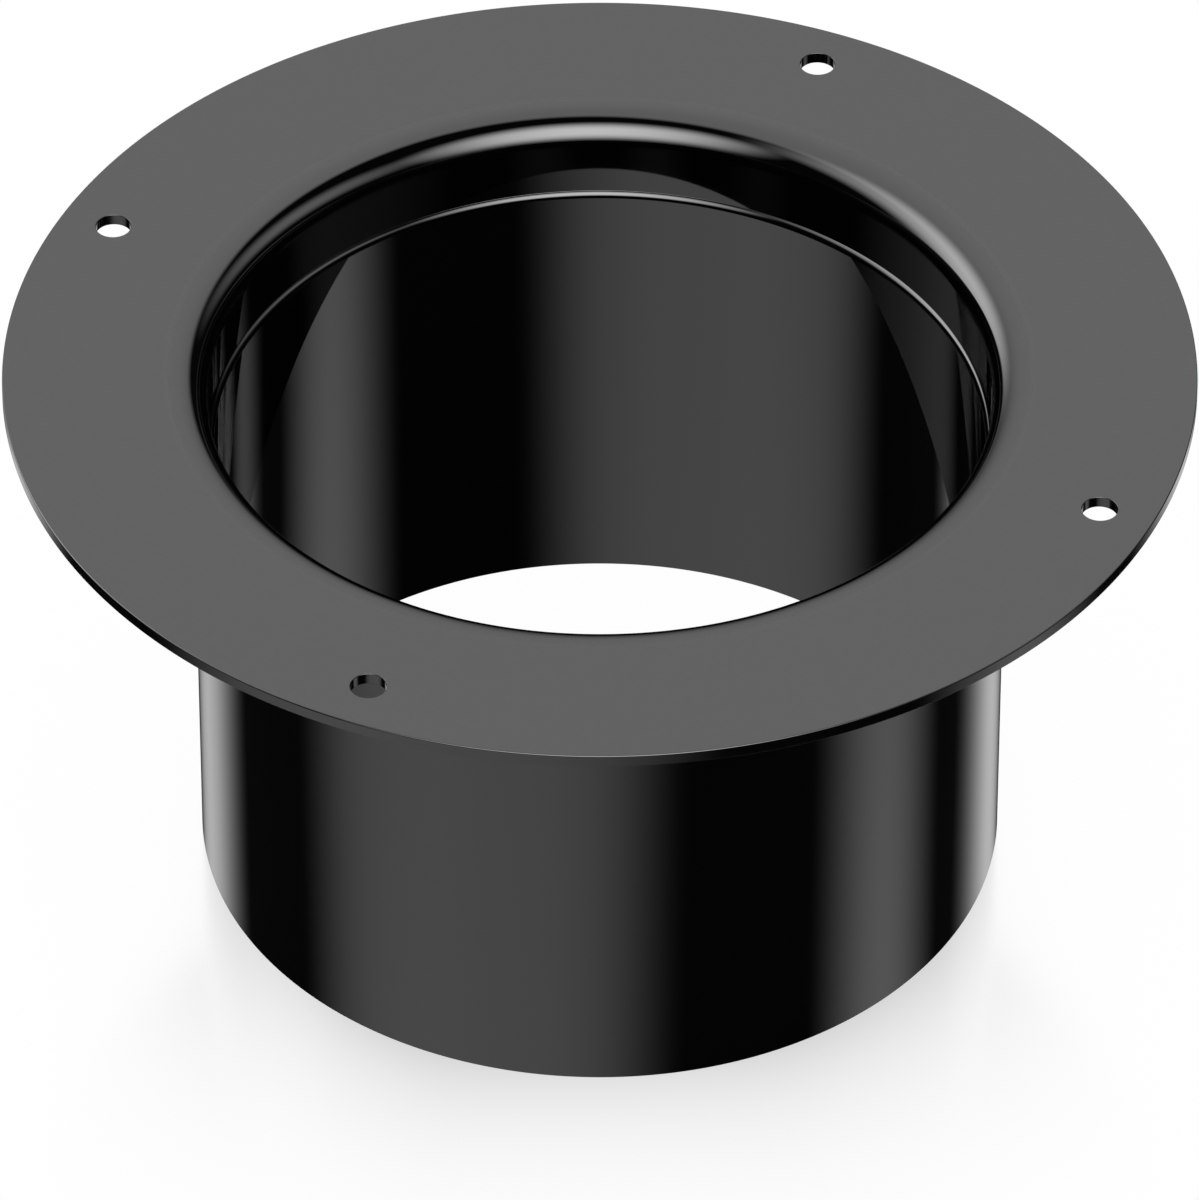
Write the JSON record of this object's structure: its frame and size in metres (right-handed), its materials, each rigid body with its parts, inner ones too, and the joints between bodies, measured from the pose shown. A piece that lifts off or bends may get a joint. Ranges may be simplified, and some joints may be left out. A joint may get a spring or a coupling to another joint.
{
  "type": "duct flange",
  "caption": "Round wall flange for an air duct: a thin flat plate with screw holes and a moulded collar with a rounded mouth.",
  "frame": {"origin": "centre of the collar's open end, on the surface that the flange stands on", "axes": "+Z along the collar's axis, up through the plate; two of the screw holes are on the X axis and two on the Y axis"},
  "size_m": [0.15, 0.15, 0.074],
  "materials": {
    "black_plastic": "glossy black moulded plastic"
  },
  "bodies": {
    "root": {"duct_flange": "black_plastic"}
  },
  "joints": []
}
